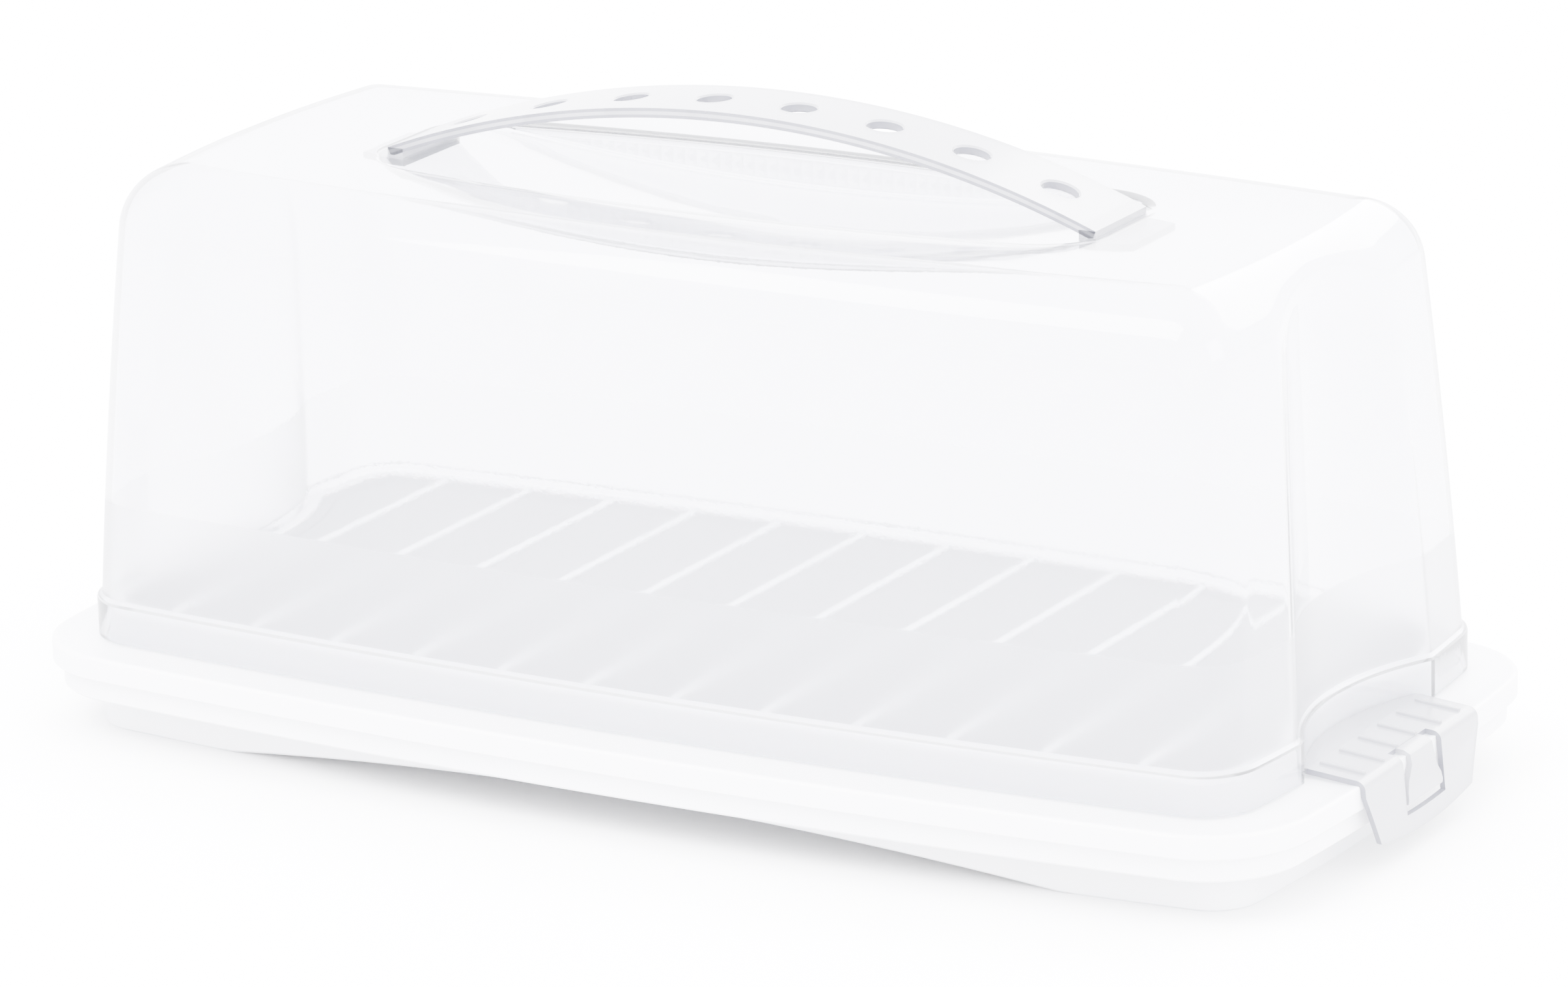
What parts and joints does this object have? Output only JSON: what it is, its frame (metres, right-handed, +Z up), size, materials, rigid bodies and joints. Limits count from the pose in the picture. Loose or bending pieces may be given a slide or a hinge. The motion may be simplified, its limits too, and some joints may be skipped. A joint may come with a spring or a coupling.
{
  "type": "cake carrier",
  "caption": "Long loaf-cake carrier: white ribbed serving base, clear lift-off hood with a perforated arched handle, and a snap latch at each end.",
  "frame": {"origin": "underside of the foot, under the middle of the base", "axes": "+X along the length, towards one latch; +Y across the width; +Z up"},
  "size_m": [0.3646, 0.174, 0.1651],
  "materials": {
    "white_base": "satin",
    "clear_hood": "gloss",
    "clear_handle": "gloss",
    "clear_latch": "satin"
  },
  "bodies": {
    "base": {"base": "white_base"},
    "hood": {"hood": "clear_hood", "handle": "clear_handle"},
    "latch_left": {"latch_left": "clear_latch"},
    "latch_right": {"latch_right": "clear_latch"}
  },
  "joints": [
    {"name": "hood_lift", "type": "slide", "parent": "base", "child": "hood", "axis": [0, 0, 1], "range_m": [0, 0.17]},
    {"name": "latch_right_hinge", "type": "hinge", "parent": "hood", "child": "latch_right", "pos_m": [0.165, 0, 0.0253], "axis": [0, -1, 0], "range_deg": [0, 20]},
    {"name": "latch_left_hinge", "type": "hinge", "parent": "hood", "child": "latch_left", "pos_m": [-0.165, 0, 0.0253], "axis": [0, 1, 0], "range_deg": [0, 20]}
  ]
}
